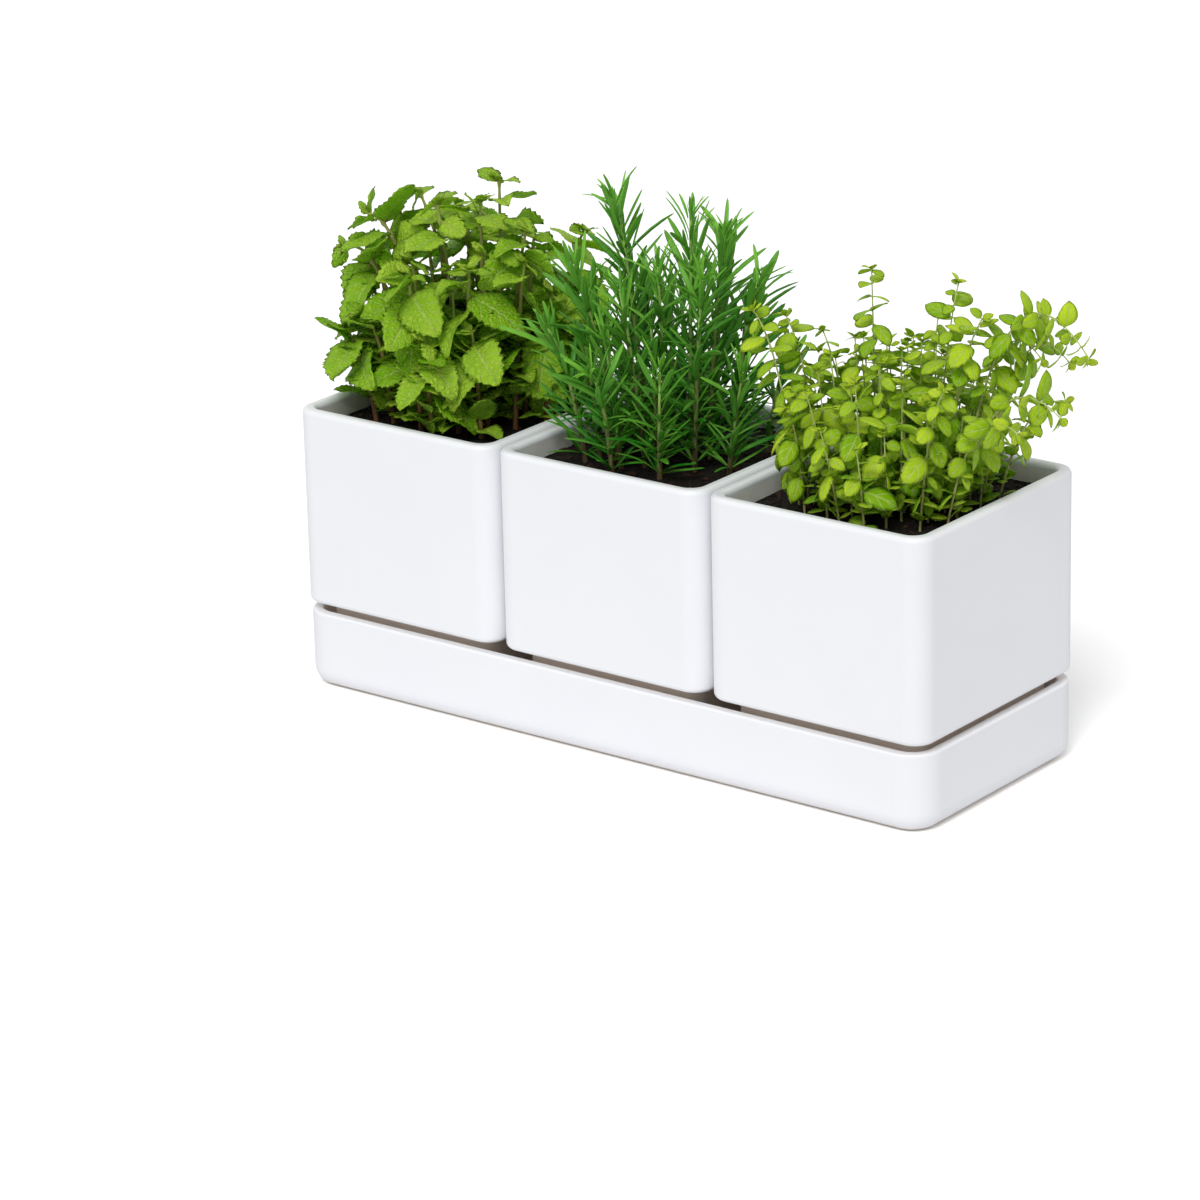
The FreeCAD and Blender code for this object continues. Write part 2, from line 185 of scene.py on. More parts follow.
world = bpy.data.worlds.new("soft white room")
world.use_nodes = True
tree = world.node_tree
tree.nodes.clear()
path = add(tree, "LightPath")
seen = add(tree, "Math MAXIMUM", {0: path.outputs["Is Camera Ray"], 1: path.outputs["Is Glossy Ray"]})
seen = add(tree, "Math MAXIMUM", {0: seen, 1: path.outputs["Is Transmission Ray"]})
level = add(tree, "MapRange", {"Value": seen, "To Min": world_level, "To Max": 1.0})
room = add(tree, "Background", {"Color": linear("#FFFFFF"), "Strength": level})
add(tree, "OutputWorld", {"Surface": room})
scene.world = world
scene.view_settings.view_transform = "Standard"

sun = bpy.data.lights.new("broad sun", "SUN")
sun.energy = sun_level
sun.angle = math.radians(25)
lamp = placed("broad sun", sun)
lamp.rotation_euler = sun_from.to_track_quat("Z", "Y").to_euler()

floor_half = 20.0
floor_seen = 1.32                # over 1, so that the lit ground is white in the picture
plane = bpy.data.meshes.new("floor")
plane.from_pydata([(-floor_half, -floor_half, 0), (floor_half, -floor_half, 0),
                   (floor_half, floor_half, 0), (-floor_half, floor_half, 0)], [], [(0, 1, 2, 3)])
floor = placed("floor", plane)

material, tree = new_material("matt white floor")
path = add(tree, "LightPath")
tone = add(tree, "Mix", {"Factor": path.outputs["Is Camera Ray"], "A": linear("#F2F2F3"),
                         "B": [floor_seen] * 3 + [1.0]}, data_type="RGBA")
matt = add(tree, "BsdfDiffuse", {"Color": tone})
add(tree, "OutputMaterial", {"Surface": matt})
plane.materials.append(material)
print("world level", world_level, "sun level", sun_level)

# %% [markdown]
# ## Glazed ceramic
#
# The tray and the pots are cast stoneware under a satin white glaze. Glaze is glass that has melted and
# run, so it is never quite even: it swells in broad soft waves that only show in the reflections. Inside,
# below the rim, the pots are bare biscuit: matt, a little warm, and clouded where the casting slip dried
# unevenly. The feet of the pots and the hollow of the tray are bare as well, which gives the gap between
# them its beige. One material holds both finishes, and a mask made from the object's own coordinates tells
# them apart.

# %% Glazed and bare ceramic
half_wall = 2.9 * MM             # from an outer face to the middle of a wall
tray_corner, pot_corner = 14 * MM, 9.5 * MM
glaze_wave = 38 * MM             # the swells of the glaze
cloud_size = 16 * MM             # stains of the bare body
grain_size = 0.9 * MM            # its sand, coarser than real, so that it shows
sole = 0.05 * MM                 # what lies lower is the tray's underside
beige_band_bottom = 1.2 * MM
shoulder_round = 2.5 * MM        # the rounding under a pot's shoulder

# The shoulder is a pot's lowest level that is as wide as the pot, less its rounded edge
pot_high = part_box("left_pot")[1]
rim_height = pot_high.z
shoulder_height = min(v.co.z for v in nodes["left_pot"].data.vertices
                      if v.co.x > pot_high.x - 0.01 * MM) - shoulder_round
bare_foot = shoulder_height + 0.2 * MM
print("shoulder at", round(shoulder_height / MM, 2), "mm")


def ceramic(node, corner, glaze_down, wavering, bare_below):
    """Satin white glaze outside, bare biscuit inside below the glaze's edge and all over below a level."""
    low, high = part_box(node)
    middle = (low + high) / 2
    material, tree = new_material("glazed stoneware, " + node.replace("_", " "))
    place = add(tree, "TexCoord").outputs["Object"]
    centred = add(tree, "VectorMath SUBTRACT", {0: place, 1: (middle.x, middle.y, 0)})
    height = add(tree, "SeparateXYZ", {"Vector": place}).outputs["Z"]

    # Broad waves of the glaze, and fine grain of the bare body
    waves = add(tree, "TexNoise", {"Vector": place, "Scale": 1 / glaze_wave, "Detail": 2.0})
    clouds = add(tree, "TexNoise", {"Vector": place, "Scale": 1 / cloud_size, "Detail": 6.0,
                                    "Roughness": 0.62})
    grain = add(tree, "TexNoise", {"Vector": place, "Scale": 1 / grain_size, "Detail": 3.0})

    # A point lies inside the middle of the wall if it is near enough to the centres of the rounded corners
    centres = (high - low) / 2 - Vector((corner, corner, 0))
    reach = add(tree, "VectorMath ABSOLUTE", {0: centred})
    past = add(tree, "VectorMath SUBTRACT", {0: reach, 1: (centres.x, centres.y, 1)})
    past = add(tree, "VectorMath MAXIMUM", {0: past, 1: (0, 0, 0)})
    distance = add(tree, "VectorMath LENGTH", {0: past}).outputs["Value"]
    inside = add(tree, "Math LESS_THAN", {0: distance, 1: corner - half_wall})

    # It is bare there below the wavering edge of the glaze, and everywhere below the bare level
    edge = add(tree, "MapRange", {"Value": clouds, "To Min": high.z - glaze_down - wavering,
                                  "To Max": high.z - glaze_down + wavering})
    below = add(tree, "Math LESS_THAN", {0: height, 1: edge})
    inner = add(tree, "Math MULTIPLY", {0: inside, 1: below})
    under = add(tree, "Math LESS_THAN", {0: height, 1: bare_below})
    bare = add(tree, "Math MAXIMUM", {0: inner, 1: under})

    glaze_tone = add(tree, "Mix", {"Factor": waves, "A": linear("#F3F4F8"), "B": linear("#F7F8FB")},
                     data_type="RGBA")
    body_spread = add(tree, "MapRange", {"Value": clouds, "From Min": 0.32, "From Max": 0.68})
    body_tone = add(tree, "Mix", {"Factor": body_spread, "A": linear("#ECE7E1"), "B": linear("#FAF8F5")},
                    data_type="RGBA")
    # The feet and the hollow of the tray are more beige than the pots' insides
    half_high = (bare_foot - beige_band_bottom) / 2
    beige_band = add(tree, "Math COMPARE", {0: height, 1: beige_band_bottom + half_high, 2: half_high})
    body_tone = add(tree, "Mix", {"Factor": beige_band, "A": body_tone, "B": linear("#F5EAE0")},
                    data_type="RGBA")
    tone = add(tree, "Mix", {"Factor": bare, "A": glaze_tone, "B": body_tone}, data_type="RGBA")
    glaze_gloss = add(tree, "MapRange", {"Value": waves, "To Min": 0.30, "To Max": 0.38})
    gloss = add(tree, "MapRange", {"Value": bare, "To Min": glaze_gloss, "To Max": 0.85})
    wave_bump = add(tree, "Bump", {"Height": waves, "Distance": 0.5 * MM, "Strength": 0.35})
    grain_strength = add(tree, "Math MULTIPLY", {0: bare, 1: 0.5})
    bump = add(tree, "Bump", {"Height": grain, "Distance": 0.08 * MM, "Strength": grain_strength,
                              "Normal": wave_bump})
    surface = add(tree, "BsdfPrincipled", {"Base Color": tone, "Roughness": gloss, "IOR": 1.5,
                                           "Normal": bump})
    add(tree, "OutputMaterial", {"Surface": surface})
    return material


for node in ("tray", "left_pot", "middle_pot", "right_pot"):
    if node == "tray":
        glazed = ceramic(node, tray_corner, glaze_down=0.6 * MM, wavering=0.0, bare_below=sole)
    else:
        glazed = ceramic(node, pot_corner, glaze_down=3 * MM, wavering=1 * MM, bare_below=bare_foot)
    nodes[node].data.materials.clear()
    nodes[node].data.materials.append(glazed)
    print(node, "glazed")

# %% [markdown]
# ## Where the plants are
#
# In the frame each stem is a chain of square rings and each leaf a thin flat-sided blade. They are plain,
# but they hold what matters: where a leaf is attached, which way it points, which side faces up and how
# long it is. So they are taken apart into separate solids and measured, and better stems and blades are put
# in their places.

# %% Take a frame node apart into its solids
WELD = 2e-6                      # corners nearer than this are one corner


def welded(node):
    """A frame node's mesh with its corners joined."""
    shape = bmesh.new()
    shape.from_mesh(nodes[node].data)
    bmesh.ops.remove_doubles(shape, verts=shape.verts, dist=WELD)
    return shape


def solids_of(node):
    """Each solid of a node: its corners, and for each corner the numbers of its neighbours."""
    shape = welded(node)
    shape.verts.index_update()
    done, found = set(), []
    for first in shape.verts:
        if first.index in done:
            continue
        done.add(first.index)
        group = [first]
        for corner in group:
            for edge in corner.link_edges:
                other = edge.other_vert(corner)
                if other.index not in done:
                    done.add(other.index)
                    group.append(other)
        number = {corner.index: n for n, corner in enumerate(group)}
        joined = [[number[edge.other_vert(corner).index] for edge in corner.link_edges] for corner in group]
        found.append((np.array([corner.co for corner in group], float), joined))
    shape.free()
    return found


def stem_lines(node):
    """Each stem as the three control points of its parabola, and its radius at the foot and at the tip."""
    lines = []
    for corners, joined in solids_of(node):
        ring = [int(n) for n in np.argsort(corners[:, 2])[:4]]
        rings, used = [ring], set(ring)
        while len(used) < len(corners):
            ring = sorted({n for corner in ring for n in joined[corner]} - used)
            rings.append(ring)
            used.update(ring)
        centres = [corners[ring].mean(axis=0) for ring in rings]
        share = 2 / (len(rings) - 1)
        foot, tip = centres[0], centres[-1]
        bend = (centres[2] - foot * (1 - share) ** 2 - tip * share ** 2) / (2 * share * (1 - share))
        radii = [np.linalg.norm(corners[rings[end][0]] - centres[end]) for end in (0, -1)]
        lines.append((foot, bend, tip, radii[0], radii[1]))
    return lines


def leaf_places(node, thickness):
    """Each leaf's foot, direction, upper side and length. Its sheet droops, which tells up from down."""
    places = []
    for corners, _ in solids_of(node):
        steps = corners[None] - corners[:, None]
        for i, j in np.argwhere(abs(np.linalg.norm(steps, axis=2) - thickness) < WELD):
            one_side = (np.linalg.norm(steps - steps[i, j], axis=2) < 2 * WELD).any(axis=1)
            if one_side.sum() * 2 == len(corners):
                break
        normal = steps[i, j] / np.linalg.norm(steps[i, j])
        sheet = corners[one_side] + steps[i, j] / 2
        gaps = np.linalg.norm(sheet[None] - sheet[:, None], axis=2) + np.eye(len(sheet))
        a, b = np.unravel_index(gaps.argmin(), gaps.shape)
        foot = (sheet[a] + sheet[b]) / 2
        tip = sheet[np.linalg.norm(sheet - foot, axis=1).argmax()]
        drop = (tip - foot) @ normal
        if drop > 0:
            normal, drop = -normal, -drop
        along = tip - foot - normal * drop
        length = np.linalg.norm(along)
        places.append((foot, along / length, normal, length))
    return places


def on_parabola(line, share):
    """The point of a stem's middle line at a share of its way up."""
    foot, bend, tip = line[:3]
    return foot * (1 - share) ** 2 + bend * (2 * share * (1 - share)) + tip * share ** 2


def stem_length(line):
    """Nearly the length of a stem: that of its three control points' line."""
    return float(np.linalg.norm(line[1] - line[0]) + np.linalg.norm(line[2] - line[1]))


stem_shares = np.linspace(0, 1, 61)      # where stems are measured against leaves
leaf_thickness = {"mint_leaves": 0.6 * MM, "rosemary_needles": 0.9 * MM, "oregano_leaves": 0.5 * MM}
leaves = {node: leaf_places(node, leaf_thickness[node]) for node in leaf_thickness}
stems = {node: stem_lines(node) for node in ("mint_stems", "rosemary_stems", "oregano_stems")}
for node, found in list(leaves.items()) + list(stems.items()):
    print(node, len(found))

# %% [markdown]
# ## One way to make a piece
#
# What Geometry Nodes grow has to end as a plain mesh: the exported model knows no instances. So a carrier
# object is made, the tree's inputs are set by their identifiers, the evaluated result is copied into a mesh
# of its own and the carrier is thrown away. The finished piece then rides on a body of the frame and stands
# for the plain solid there.

# %% From a tree to a finished piece


def grown(name, mesh, tree, **inputs):
    """The plain mesh object that a Geometry Nodes tree makes from a mesh."""
    carrier = placed(name + " carrier", mesh)
    modifier = carrier.modifiers.new("grow", "NODES")
    modifier.node_group = tree
    for item in tree.interface.items_tree:
        if item.item_type == "SOCKET" and item.in_out == "INPUT" and item.name in inputs:
            modifier[item.identifier] = inputs[item.name]
    bpy.context.view_layer.update()
    graph = bpy.context.evaluated_depsgraph_get()
    result = bpy.data.meshes.new_from_object(carrier.evaluated_get(graph), preserve_all_data_layers=True,
                                             depsgraph=graph)
    carrier.modifiers.remove(modifier)
    bpy.data.objects.remove(carrier)
    result.name = name
    return placed(name, result)


def finish_piece(piece, body, slot, *replaced):
    """Smooth shading, and the piece's place in the object."""
    piece.data.polygons.foreach_set("use_smooth", [True] * len(piece.data.polygons))
    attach(piece, body)
    if replaced:
        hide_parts(*replaced)
    print(piece.name, len(piece.data.polygons), "faces on", body)
    return piece


def new_tree(name, **inputs):
    """A Geometry Nodes tree with geometry in and out and more named inputs, and its first node."""
    tree = bpy.data.node_groups.new(name, "GeometryNodeTree")
    tree.interface.new_socket("Geometry", in_out="OUTPUT", socket_type="NodeSocketGeometry")
    tree.interface.new_socket("Geometry", in_out="INPUT", socket_type="NodeSocketGeometry")
    for label, kind in inputs.items():
        tree.interface.new_socket(label, in_out="INPUT", socket_type="NodeSocket" + kind)
    return tree, add(tree, "NodeGroupInput")


def named(tree, name, kind):
    """The values that the points of the geometry carry under a name."""
    return add(tree, "GeometryNodeInputNamedAttribute", {"Name": name}, data_type=kind)


# %% [markdown]
# ## A tree for leaves
#
# Every leaf of a herb is a copy of one of a few blades, turned so that its length runs along the leaf's
# direction and its face looks the leaf's way up. The feet are the points of a mesh, and the directions ride
# on them as attributes. Instance on Points does the copying, and Realize Instances makes the copies real.

# %% The tree that puts blades on their feet
blade_tree, start = new_tree("blades on their feet", Blades="Collection", Material="Material")
blade_turn = add(blade_tree, "FunctionNodeAxesToRotation",
                 {"Primary Axis": named(blade_tree, "upper", "FLOAT_VECTOR"),
                  "Secondary Axis": named(blade_tree, "along", "FLOAT_VECTOR")},
                 primary_axis="Z", secondary_axis="Y")
blade_choice = add(blade_tree, "GeometryNodeCollectionInfo",
                   {"Collection": start.outputs["Blades"], "Separate Children": True, "Reset Children": True})
blade_copies = add(blade_tree, "GeometryNodeInstanceOnPoints",
                   {"Points": start.outputs["Geometry"], "Instance": blade_choice, "Pick Instance": True,
                    "Instance Index": named(blade_tree, "pick", "INT"), "Rotation": blade_turn,
                    "Scale": named(blade_tree, "size", "FLOAT")})
blade_mesh = add(blade_tree, "GeometryNodeRealizeInstances", {"Geometry": blade_copies})
blade_done = add(blade_tree, "GeometryNodeSetMaterial",
                 {"Geometry": blade_mesh, "Material": start.outputs["Material"]})
add(blade_tree, "NodeGroupOutput", {"Geometry": blade_done})


def varied(place, rng, shortest, tilt, roll, above):
    """A leaf's place, a little shorter, and a little turned if its foot is over a height."""
    foot, along, upper, length = place
    if foot[2] > above:
        across = np.cross(along, upper)
        a, b = math.radians(rng.uniform(-tilt, tilt)), math.radians(rng.uniform(-roll, roll))
        along, upper = along * math.cos(a) + upper * math.sin(a), upper * math.cos(a) - along * math.sin(a)
        upper = upper * math.cos(b) + across * math.sin(b)
    return foot, along, upper, length * rng.uniform(shortest, 1)


def shortened(place, low_x, high_x, sway):
    """A leaf's place, shorter if its tip, which may sway by a share, would pass one of two planes."""
    foot, along, upper, length = place
    swing = sway * abs(np.cross(along, upper)[0])
    room = min((high_x - foot[0]) / max(along[0] + swing, WELD),
               (low_x - foot[0]) / min(along[0] - swing, -WELD))
    return foot, along, upper, min(length, room)


def new_shelf(name, things):
    """A collection of the shapes that a tree picks from."""
    shelf = bpy.data.collections.new(name)
    for thing in things:
        shelf.objects.link(thing)
    return shelf


def clear_shelf(shelf):
    """Throw away a collection and what is in it."""
    for thing in list(shelf.objects):
        bpy.data.objects.remove(thing)
    bpy.data.collections.remove(shelf)


def leafy_piece(name, places, blades, material, seed, small_blades=(), small_below=0.0):
    """All the leaves of one herb as one object. A place is (foot, direction, upper side, length, youth).

    The small blades have fewer faces, and the leaves that are shorter than small_below are made of them.
    """
    rng = random.Random(seed)
    picks = [len(blades) + rng.randrange(len(small_blades)) if place[3] < small_below
             else rng.randrange(len(blades)) for place in places]
    mesh = bpy.data.meshes.new(name + " feet")
    mesh.from_pydata([tuple(place[0]) for place in places], [], [])
    columns = (("along", "FLOAT_VECTOR", [place[1] for place in places]),
               ("upper", "FLOAT_VECTOR", [place[2] for place in places]),
               ("size", "FLOAT", [place[3] for place in places]),
               ("youth", "FLOAT", [place[4] for place in places]),
               ("pick", "INT", picks))
    for label, kind, values in columns:
        column = mesh.attributes.new(label, kind, "POINT")
        column.data.foreach_set("vector" if kind == "FLOAT_VECTOR" else "value", np.array(values).ravel())
    shelf = new_shelf(name + " blades", list(blades) + list(small_blades))
    piece = grown(name, mesh, blade_tree, Blades=shelf, Material=material)
    clear_shelf(shelf)
    return piece


# %% [markdown]
# ## A tree for stems, stalks and roots
#
# A stem is a line with a thickness that changes along it. The lines are the edges of a mesh whose points
# carry their radius, and Curve to Mesh draws a round section along them. The same tree serves the thin
# stalks that join the leaves to their stems, and the roots on the outside of the soil.

# %% The tree that thickens lines
line_tree, start = new_tree("lines to stems", Sides="Int", Material="Material")
line_curve = add(line_tree, "GeometryNodeMeshToCurve", {"Mesh": start.outputs["Geometry"]})
line_section = add(line_tree, "GeometryNodeCurvePrimitiveCircle",
                   {"Resolution": start.outputs["Sides"], "Radius": 1.0})
line_tube = add(line_tree, "GeometryNodeCurveToMesh",
                {"Curve": line_curve, "Profile Curve": line_section, "Fill Caps": True,
                 "Scale": named(line_tree, "radius_here", "FLOAT")})
line_done = add(line_tree, "GeometryNodeSetMaterial",
                {"Geometry": line_tube, "Material": start.outputs["Material"]})
add(line_tree, "NodeGroupOutput", {"Geometry": line_done})


def line_piece(name, lines, sides, material):
    """Tubes along lines. Each point of a line is (place, radius, age)."""
    points = [point for line in lines for point in line]
    edges, first = [], 0
    for line in lines:
        edges += [(first + i, first + i + 1) for i in range(len(line) - 1)]
        first += len(line)
    mesh = bpy.data.meshes.new(name + " lines")
    mesh.from_pydata([tuple(point[0]) for point in points], edges, [])
    for label, n in (("radius_here", 1), ("age", 2)):
        mesh.attributes.new(label, "FLOAT", "POINT").data.foreach_set("value", [point[n] for point in points])
    return grown(name, mesh, line_tree, Sides=sides, Material=material)


# %% [markdown]
# ## A blade
#
# A leaf blade is modelled once at length 1, as two thin sheets that share one edge, so it is closed like a
# real leaf and has a true outline. Its outline is a formula: a sine raised to a power is round at the foot
# and pointed at the tip. Its height over the plane is a formula too: it droops towards the tip, folds along
# the midrib, and swells between the side veins.

# %% The blade of a leaf


def as_object(name, shape):
    """The object that a bmesh becomes. It isn't put in the scene."""
    mesh = bpy.data.meshes.new(name)
    shape.to_mesh(mesh)
    shape.free()
    return bpy.data.objects.new(name, mesh)


def blade(name, rows, columns, half_width, height, thick, tooth=0.0):
    """A closed blade of length 1 along +Y, with its foot at the origin and its upper side facing +Z."""
    shape = bmesh.new()
    uv = shape.loops.layers.uv.new("UVMap")
    for side in (1, -1):
        grid = []
        for i in range(rows + 1):
            v = i / rows
            line = []
            for j in range(columns + 1):
                u = 2 * j / columns - 1
                reach, y = half_width(v), v
                if tooth and abs(u) == 1 and 0 < i < rows:
                    reach *= 1 + tooth * (0.3 if i % 2 else -0.7)
                    y += 0.35 / rows if i % 2 else 0.0
                x = u * reach
                z = height(x, v, u) + side * thick / 2 * (1 - u ** 4) * min(1, reach * 12)
                line.append(shape.verts.new((x, y, z)))
            grid.append(line)
        for i in range(rows):
            for j in range(columns):
                corners = [(i, j), (i, j + 1), (i + 1, j + 1), (i + 1, j)]
                if side == -1:
                    corners.reverse()
                face = shape.faces.new([grid[a][b] for a, b in corners])
                for loop, (a, b) in zip(face.loops, corners):
                    loop[uv].uv = (b / columns + (0 if side == 1 else 1), a / rows)
    bmesh.ops.remove_doubles(shape, verts=shape.verts, dist=1e-5)
    return as_object(name, shape)


# %% [markdown]
# ## Leaf colour
#
# A leaf is never one green. Young leaves near the tips are light and yellowish, old ones deeper, the veins
# are paler than the fields between them, and the underside is duller. Light also shines through a thin
# leaf, which a share of Translucent shading gives. The veins follow the blade's own UV map: the midrib is
# its middle line, and the side veins are slanted stripes that lean towards the tip.

# %% Leaf materials
midrib_half = 0.045              # shares of the blade's width
margin_start = 0.42
side_vein_half = 0.14            # shares of the way from one side vein to the next
field_middle = 0.42              # share of a field's size where it is fully swollen
blotch_size = 7 * MM
wrinkle_size = 1.6 * MM
streak_size = 1.2 * MM           # across a stem, and over five times that along it


def leaf_material(name, old, young, vein, under, veins, slant, net, swell, margin, crinkle, gloss, shine,
                  through):
    """A leaf's skin: slanting side veins, swollen fields with a painted highlight, and a pale margin."""
    material, tree = new_material(name)
    place = add(tree, "TexCoord").outputs["Object"]
    uv = add(tree, "SeparateXYZ", {"Vector": add(tree, "UVMap", uv_map="UVMap")})
    below = add(tree, "Math GREATER_THAN", {0: uv.outputs["X"], 1: 1.0})
    share = add(tree, "Math SUBTRACT", {0: uv.outputs["X"], 1: below})
    centred = add(tree, "Math SUBTRACT", {0: share, 1: 0.5})
    across = add(tree, "Math ABSOLUTE", {0: centred})

    midrib = add(tree, "MapRange", {"Value": across, "From Max": midrib_half, "To Min": 1.0, "To Max": 0.0})
    lean = add(tree, "Math MULTIPLY", {0: across, 1: -2 * slant})
    count = add(tree, "Math MULTIPLY_ADD", {0: uv.outputs["Y"], 1: veins, 2: lean})
    stripe = add(tree, "Math PINGPONG", {0: count, 1: 0.5})
    side_vein = add(tree, "MapRange", {"Value": stripe, "From Max": side_vein_half,
                                       "To Min": 0.6 if veins else 0, "To Max": 0.0})
    main_veins = add(tree, "Math MAXIMUM", {0: midrib, 1: side_vein})
    edge = add(tree, "MapRange", {"Value": across, "From Min": margin_start, "From Max": 0.5,
                                  "To Max": margin})
    pale = add(tree, "Math MAXIMUM", {0: main_veins, 1: edge})

    # The fields of the net swell up, and a painted highlight makes their middles lighter
    cells = add(tree, "TexVoronoi", {"Vector": place, "Scale": 1 / net}, feature="DISTANCE_TO_EDGE")
    swell_and_painted_highlight = add(tree, "MapRange", {"Value": cells, "From Max": field_middle, "To Max": swell},
                   interpolation_type="SMOOTHSTEP")

    youth = add(tree, "Attribute", attribute_name="youth")
    blotches = add(tree, "TexNoise", {"Vector": place, "Scale": 1 / blotch_size, "Detail": 3.0})
    mottled = add(tree, "MapRange", {"Value": blotches, "From Min": 0.3, "From Max": 0.7, "To Min": -0.14,
                                     "To Max": 0.14})
    # Painted highlight: the swollen middles of the fields are coloured lighter, with random blotches on top
    lighter = add(tree, "Math MULTIPLY_ADD", {0: swell_and_painted_highlight, 1: 0.45, 2: mottled})
    mixed = add(tree, "Math ADD", {0: youth.outputs["Fac"], 1: lighter}, use_clamp=True)
    green = add(tree, "Mix", {"Factor": mixed, "A": linear(old), "B": linear(young)}, data_type="RGBA")
    vein_share = add(tree, "Math MULTIPLY", {0: pale, 1: 0.8})
    veined = add(tree, "Mix", {"Factor": vein_share, "A": green, "B": linear(vein)}, data_type="RGBA")
    dull = add(tree, "Math MULTIPLY", {0: below, 1: 0.55})
    tone = add(tree, "Mix", {"Factor": dull, "A": veined, "B": linear(under)}, data_type="RGBA")

    # The upper side sinks at the veins, and the skin between them is finely wrinkled
    wrinkles = add(tree, "TexNoise", {"Vector": place, "Scale": 1 / wrinkle_size, "Detail": 2.0})
    skin_height = add(tree, "Math MULTIPLY_ADD", {0: wrinkles, 1: 0.4, 2: swell_and_painted_highlight})
    relief = add(tree, "Math MULTIPLY_ADD", {0: main_veins, 1: -0.8, 2: skin_height})
    bump = add(tree, "Bump", {"Height": relief, "Distance": crinkle, "Strength": 0.8})
    skin = add(tree, "BsdfPrincipled", {"Base Color": tone, "Roughness": gloss, "IOR": 1.42,
                                        "Specular IOR Level": shine, "Normal": bump})
    glow = add(tree, "BsdfTranslucent", {"Color": tone, "Normal": bump})
    both = add(tree, "MixShader", {0: through, 1: skin, 2: glow})
    add(tree, "OutputMaterial", {"Surface": both})
    return material


def stem_material(name, old, young, gloss):
    """A stem's skin: woody near the soil and fresh near the tip, with fine lengthwise streaks."""
    material, tree = new_material(name)
    place = add(tree, "TexCoord").outputs["Object"]
    stretched = add(tree, "Mapping", {"Vector": place, "Scale": (1, 1, 0.18)})
    streaks = add(tree, "TexNoise", {"Vector": stretched, "Scale": 1 / streak_size, "Detail": 4.0})
    age = add(tree, "Attribute", attribute_name="age")
    shift = add(tree, "MapRange", {"Value": streaks, "From Min": 0.3, "From Max": 0.7, "To Min": -0.25,
                                   "To Max": 0.25})
    mixed = add(tree, "Math ADD", {0: age.outputs["Fac"], 1: shift}, use_clamp=True)
    tone = add(tree, "Mix", {"Factor": mixed, "A": linear(young), "B": linear(old)}, data_type="RGBA")
    bump = add(tree, "Bump", {"Height": streaks, "Distance": 0.25 * MM, "Strength": 0.7})
    skin = add(tree, "BsdfPrincipled", {"Base Color": tone, "Roughness": gloss, "IOR": 1.42, "Normal": bump})
    add(tree, "OutputMaterial", {"Surface": skin})
    return material


# %% [markdown]
# ## From the frame's stems and leaves to lines and places
#
# A stem swells where leaves leave it, and each leaf hangs on a stalk that starts inside the stem and runs
# into the blade. So each leaf is first matched with the stem that passes nearest to its foot. New leaves
# open at the tips of the stems, small and steep, and are added there.

# %% Stems with swellings, stalks and new leaves
leaf_clear, rim_clear = 1.5 * MM, 4 * MM
in_soil = 3 * MM                 # how deep a stem's foot stands in the soil


def stem_chain(line, steps, knots, swell, spread):
    """A stem as a chain of points, a little thicker at each knot, which is a share of its way up."""
    length = stem_length(line)
    chain = []
    for share in np.linspace(0, 1, steps + 1):
        radius = line[3] + (line[4] - line[3]) * share
        radius += swell * max([math.exp(-((share - knot) * length / spread) ** 2) for knot in knots] or [0])
        chain.append((on_parabola(line, share), radius, 1 - share))
    # The foot goes down into the soil
    foot = chain[0]
    chain.insert(0, (foot[0] - np.array([0, 0, in_soil]), foot[1] * 1.1, foot[2]))
    return chain


def matched(lines, places):
    """For each leaf, the number of its stem and the share of the way up it."""
    tracks = np.array([[on_parabola(line, share) for share in stem_shares] for line in lines])
    found = []
    for place in places:
        gaps = np.linalg.norm(tracks - place[0], axis=2)
        stem, step = np.unravel_index(gaps.argmin(), gaps.shape)
        found.append((int(stem), float(stem_shares[step])))
    return found


def stalk(line, share, place, thick, thin, droop, into=0.14):
    """A leaf's stalk, from the middle of its stem to a little way under the blade."""
    foot, along, upper, length = place[:4]
    root = on_parabola(line, share)
    inside = foot + along * into * length - upper * (droop * into ** 2 * length + thin)
    knee = root + (foot - root) * 0.8
    return [(root, thick, 1 - share), (knee, (thick + thin) / 2, 1 - share),
            (foot + along * 0.04 * length - upper * thin * 0.5, thin, 0.8 - 0.8 * share),
            (inside, thin * 0.5, 0.5 - 0.5 * share)]


def tip_leaves(lines, rng, count, longest, steep):
    """Small leaves that open at the tips of the stems, in turns around it."""
    places = []
    for line in lines:
        way = line[2] - line[1]
        way = way / np.linalg.norm(way)
        side = np.cross(way, (0.3, 1, 0.2))
        side /= np.linalg.norm(side)
        other = np.cross(way, side)
        turn = rng.uniform(0, math.pi)
        for k in range(count):
            angle = turn + k * math.pi * (0.5 if k % 2 else 1.0) + (k // 2) * math.pi / 2
            outward = side * math.cos(angle) + other * math.sin(angle)
            lift = math.radians(steep + 10 * (k // 2) + rng.uniform(-8, 8))
            along = outward * math.cos(lift) + way * math.sin(lift)
            upper = way * math.cos(lift) - outward * math.sin(lift)
            length = longest * (1 - 0.25 * (k // 2)) * rng.uniform(0.8, 1.1)
            places.append((line[2] + outward * line[4] * 0.5, along, upper, length, rng.uniform(0.85, 1.0)))
    return places


